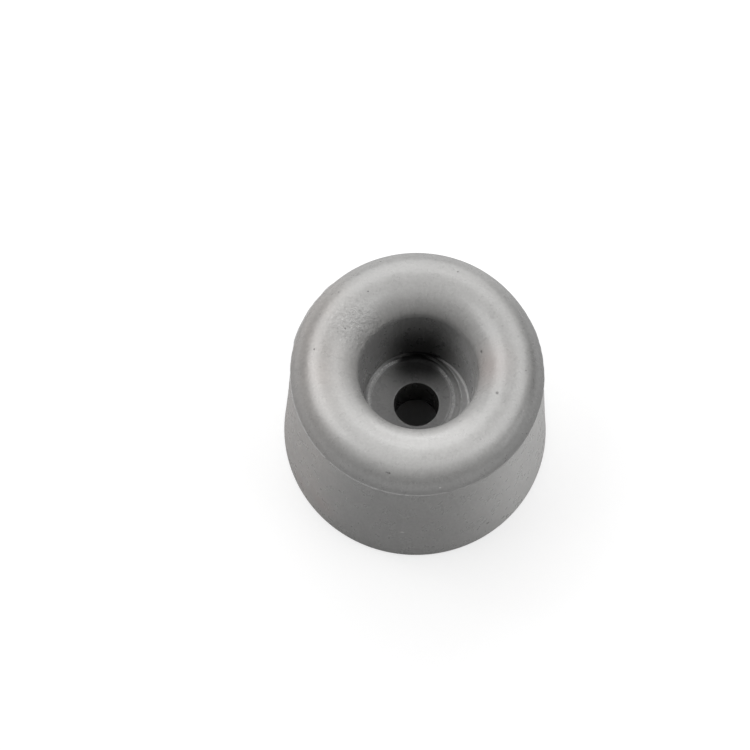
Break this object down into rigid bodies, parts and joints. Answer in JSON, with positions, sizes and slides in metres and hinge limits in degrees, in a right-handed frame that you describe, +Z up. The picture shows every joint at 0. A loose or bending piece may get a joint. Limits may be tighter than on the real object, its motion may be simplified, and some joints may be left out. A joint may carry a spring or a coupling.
{
  "type": "rubber door stop",
  "caption": "Round grey rubber door stop with a tapered foot, a rounded crown and a flared well over a central screw hole.",
  "frame": {"origin": "centre of the foot's standing face, on the screw hole's axis", "axes": "+Z up along the screw hole, from the foot to the crown; the bead round the washer seat is moulded off centre towards -X and +Y"},
  "size_m": [0.04, 0.04, 0.0323],
  "materials": {
    "rubber": "matte moulded rubber, mid grey"
  },
  "bodies": {
    "root": {"door_stop": "rubber"}
  },
  "joints": []
}
